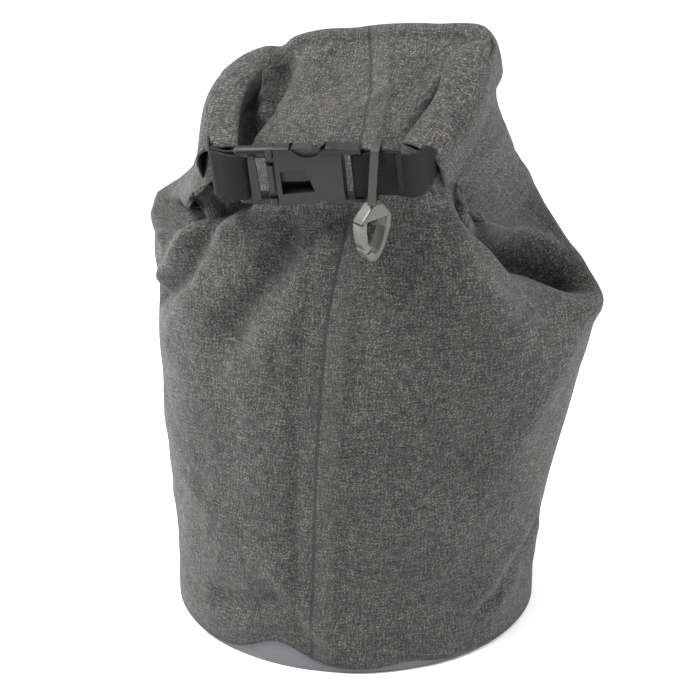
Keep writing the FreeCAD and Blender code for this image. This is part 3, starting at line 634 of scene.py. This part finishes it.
def plastic(name, c0, c1, rough, grain=1800.0, strength=0.10, spec=0.5):
    """Moulded plastic: spark-eroded grain, worn and paler patches."""
    m, nt, b = new_mat(name)
    k = Net(nt)
    p = obj_vec(nt)
    big = k.noise(p, 60.0, 4.0, 0.6)
    fine = k.noise(p, grain, 2.0, 0.6)
    col = k.ramp(k.math("MULTIPLY_ADD", fine, 0.25, k.math("MULTIPLY", big, 0.75)),
                 [(0.32, c0), (0.68, c1)])
    geo = nt.nodes.new("ShaderNodeNewGeometry")
    wear = k.span(geo.outputs["Pointiness"], 0.52, 0.60, 0.0, 0.5)
    col = k.mix(wear, col, (min(1, c1[0] * 2.0), min(1, c1[1] * 2.0),
                            min(1, c1[2] * 2.0), 1))
    nt.links.new(col, b.inputs["Base Color"])
    nt.links.new(k.span(big, 0.3, 0.7, rough - 0.06, rough + 0.08), b.inputs["Roughness"])
    b.inputs["Specular IOR Level"].default_value = spec
    nt.links.new(k.bump(fine, strength, 0.00015), b.inputs["Normal"])
    return m


def sheeting():
    """Smooth coated base sheet with a faint calendered grain."""
    m, nt, b = new_mat("base_sheet")
    k = Net(nt)
    p = obj_vec(nt)
    big = k.noise(p, 26.0, 4.0, 0.6)
    fine = k.noise(p, 1100.0, 3.0, 0.6)
    scuff = k.noise(k.scale(p, (60, 60, 420)), 1.0, 3.0, 0.6)
    col = k.ramp(k.math("MULTIPLY_ADD", scuff, 0.3, k.math("MULTIPLY", big, 0.7)),
                 [(0.3, (0.062, 0.065, 0.070)), (0.7, (0.092, 0.096, 0.102))])
    nt.links.new(col, b.inputs["Base Color"])
    nt.links.new(k.span(big, 0.3, 0.7, 0.44, 0.58), b.inputs["Roughness"])
    nt.links.new(k.bump(fine, 0.2, 0.0002), b.inputs["Normal"])
    return m


def paint(o, mat):
    o.data.materials.clear()
    o.data.materials.append(mat)


M_cloth = heather()
M_web = webbing("webbing_black", (0.0005, 0.0005, 0.0006), (0.0170, 0.0170, 0.0178))
M_stitch = webbing("stitch_black", (0.004, 0.004, 0.0045), (0.026, 0.026, 0.027))
M_buckle = plastic("buckle_plastic", (0.0040, 0.0042, 0.0045), (0.0080, 0.0083, 0.0088), 0.44, 1800.0, 0.10, 0.24)
# latch arms: a lighter copy of the buckle plastic, painted highlight where the light catches them
M_latch_highlit = plastic("latch_plastic_highlit", (0.0055, 0.0057, 0.0061), (0.0100, 0.0104, 0.0110), 0.42, 1800.0, 0.10, 0.26)
M_hook = plastic("hook_plastic", (0.045, 0.0438, 0.041), (0.070, 0.068, 0.0635), 0.32, 1500.0)
M_eye = plastic("eye_plastic", (0.010, 0.0098, 0.0092), (0.019, 0.0186, 0.0175), 0.36, 1500.0, 0.10, 0.3)
M_gate = plastic("gate_plastic", (0.036, 0.035, 0.0325), (0.056, 0.0545, 0.0505), 0.31, 1500.0)
M_base = sheeting()
M_strip = plastic("strip_plastic", (0.02, 0.02, 0.021), (0.035, 0.035, 0.036), 0.5)

paint(cloth, M_cloth)
NODE_MATS = {
    "base_panel": M_base,
    "bar_tack_left": M_stitch, "bar_tack_right": M_stitch,
    "buckle_male_frame": M_buckle, "latch_arm_upper": M_latch_highlit,
    "latch_arm_lower": M_latch_highlit, "buckle_socket": M_buckle,
    "hook_eye": M_eye, "hook_body": M_hook, "hook_gate": M_gate,
}
for name, mat in NODE_MATS.items():
    paint(nodes[name], mat)

# ------------------------------------------------------------------ webbing
BC = np.array([-5.5, -91.0, 274.5])


def strap(name, node, body, u0, u1, t, depth, lower):
    """The webbing of a node, its tail led further into the fat end of the roll."""
    me = nodes[node].data.copy()
    me.name = name
    o = bpy.data.objects.new(name, me)
    bpy.context.scene.collection.objects.link(o)
    co = np.array([v.co for v in me.vertices], float)
    rel = co * 1000 - BC
    u = rel @ np.array(BU)
    w = smooth(u0, u1, u) if u1 > u0 else smooth(-u0, -u1, -u)
    Pe, Te, Oe = crest_at(np.array([t]))
    inward = Te[0] if t < 0.5 else -Te[0]
    deep = (co * 1000 - Pe[0]) @ inward
    # the tail is gathered a little where it goes into the roll
    v = rel @ np.array(BV)
    tuck = smooth(-7.0, 4.0, deep - 0.37 * v)
    co -= np.array(BV) * ((v * 0.42 + 3.0) * tuck * 0.001)[:, None]
    deep = (co * 1000 - Pe[0]) @ inward
    co -= inward * (np.maximum(deep - 4.0, 0) * 0.96 * 0.001)[:, None]
    co += ((-Oe[0] * depth - ROLL_UP * lower) * 0.001) * w[:, None]
    me.vertices.foreach_set("co", co.ravel())
    me.update()
    paint(o, M_web)
    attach(o, body)
    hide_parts(node)
    return o


web_l = strap("webbing_left", "strap_left", "left_end", -40, -62, 0.0, 6.0, 8.0)
web_r = strap("webbing_right", "strap_right", "root", 44, 62, 1.0, 2.5, 8.5)

# ------------------------------------------------------------------ hidden pieces


def inner_strip(name, cols, rows, depth, thick, mat):
    """A strip stuck to the inside of the cloth over a run of columns and rows."""
    Nn = normals(G)
    P = G - Nn * depth
    closed = cols is None
    ci = np.arange(NC) if closed else cols
    Q = P[np.ix_(ci, rows)]
    f = lay_faces(len(ci), len(rows), closed)
    o = finish_mesh(name, Q.reshape(-1, 3), f)
    md = o.modifiers.new("thickness", "SOLIDIFY")
    md.thickness = thick * 0.001
    md.offset = -1.0
    paint(o, mat)
    return o


rows_base = [i for i in range(NR) if 17 <= VV[i] <= 30]
tape_base = inner_strip("base_tape", None, rows_base, 1.2, 0.3, M_strip)
seam_cols = [i for i in range(NC) if abs(C[i] - 0.2575) < 0.018]
rows_tape = [i for i in range(NR) if 33 <= VV[i] <= 185]
tape_front = inner_strip("front_tape", seam_cols, rows_tape, 1.4, 0.3, M_strip)


def stiffener(name, o0, side):
    """A flat strip standing inside the roll."""
    t = np.linspace(0.05, 0.95, 120)
    Ls, Ts, Os = cloth_crest(t)
    o0 = (o0 * (1 + 0.85 * arm(t)))[:, None]
    P = np.zeros((120, 6, 3))
    for j in range(6):
        P[:, j] = Ls + Os * o0 - ROLL_UP * (10.5 + 8.0 * j / 5)
    o = finish_mesh(name, P.reshape(-1, 3), lay_faces(120, 6, False))
    md = o.modifiers.new("thickness", "SOLIDIFY")
    md.thickness = 0.0008
    paint(o, M_strip)
    return o


stiff_a = stiffener("lip_strip_front", 5.7, 1)
stiff_b = stiffener("lip_strip_back", 6.3, 1)

# a bend axis towards the left end is set here but not applied; the modifiers are applied and the cloth and lip
# strips are baked to world space
BEND = np.array([-0.60, -0.30, 0.742])
BEND /= np.linalg.norm(BEND)
soft = [cloth, stiff_a, stiff_b]
for o in soft + [tape_base, tape_front]:
    bpy.context.view_layer.objects.active = o
    dg = bpy.context.evaluated_depsgraph_get()
    me = bpy.data.meshes.new_from_object(o.evaluated_get(dg), depsgraph=dg)
    o.modifiers.clear()
    o.data = me
for o in soft:
    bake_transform(o)
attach(tape_base, "root")
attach(tape_front, "root")
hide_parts("body_panel", "roll_outer_turn", "roll_inner_turns",
            "roll_left_end_cover", "roll_left_end_turns")
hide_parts("mouth_stiffener_front", "stiffener_left_front")
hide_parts("mouth_stiffener_back", "stiffener_left_back")
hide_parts("base_seam_tape")
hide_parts("front_seam_tape")

# ------------------------------------------------------------------ stage
me = bpy.data.meshes.new("floor")
R = 6.0
me.from_pydata([(-R, -R, 0), (R, -R, 0), (R, R, 0), (-R, R, 0)], [], [(0, 1, 2, 3)])
me.update()
floor = bpy.data.objects.new("floor", me)
bpy.context.scene.collection.objects.link(floor)
m, nt, b = new_mat("floor_white")
b.inputs["Base Color"].default_value = (0.93, 0.93, 0.93, 1)
b.inputs["Roughness"].default_value = 0.9
paint(floor, m)
floor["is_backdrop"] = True

scene = bpy.context.scene
scene.view_settings.view_transform = "Standard"
world = bpy.data.worlds.new("studio")
scene.world = world
world.use_nodes = True
world.node_tree.nodes["Background"].inputs[0].default_value = (1, 1, 1, 1)
world.node_tree.nodes["Background"].inputs[1].default_value = 0.40


def area(name, loc, aim, size, energy, size_y=None):
    l = bpy.data.lights.new(name, "AREA")
    l.energy = energy
    l.size = size
    if size_y:
        l.shape = "RECTANGLE"
        l.size_y = size_y
    o = bpy.data.objects.new(name, l)
    o.location = loc
    o.rotation_mode = "QUATERNION"
    o.rotation_quaternion = (Vector(aim) - Vector(loc)).to_track_quat("-Z", "Y")
    scene.collection.objects.link(o)
    return o


area("key", (-0.55, -0.60, 1.30), (0, 0, 0.17), 0.5, 36)
area("fill", (1.1, -0.20, 0.75), (0, 0, 0.17), 0.8, 6)
area("top", (-0.1, -0.1, 2.6), (0, 0, 0), 4.0, 80)
area("rim_left", (-1.0, 0.35, 0.45), (0, 0, 0.17), 0.6, 10)
area("rim_right", (1.0, 0.55, 0.5), (0, 0, 0.17), 0.6, 10)

cam = bpy.data.cameras.new("camera")
co = bpy.data.objects.new("camera", cam)
scene.collection.objects.link(co)
az, el, dist = math.radians(14), math.radians(21), 1.150
c = Vector((-0.0035, 0, 0.165))
pos = c + dist * Vector((math.sin(az) * math.cos(el),
                         -math.cos(az) * math.cos(el), math.sin(el)))
aim = Vector((-0.0035, 0, 0.146))
co.location = pos
co.rotation_mode = "QUATERNION"
co.rotation_quaternion = (aim - pos).to_track_quat("-Z", "Y")
cam.lens = 2091 / 700 * 36
cam.sensor_width = 36
scene.camera = co

new_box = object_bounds()


def plain(b):
    if hasattr(b, "items"):
        return {k: plain(v) for k, v in b.items()}
    if hasattr(b, "__len__"):
        return [plain(v) for v in b]
    return float(b)


{"cad": plain(cad_box), "visual": plain(new_box)}
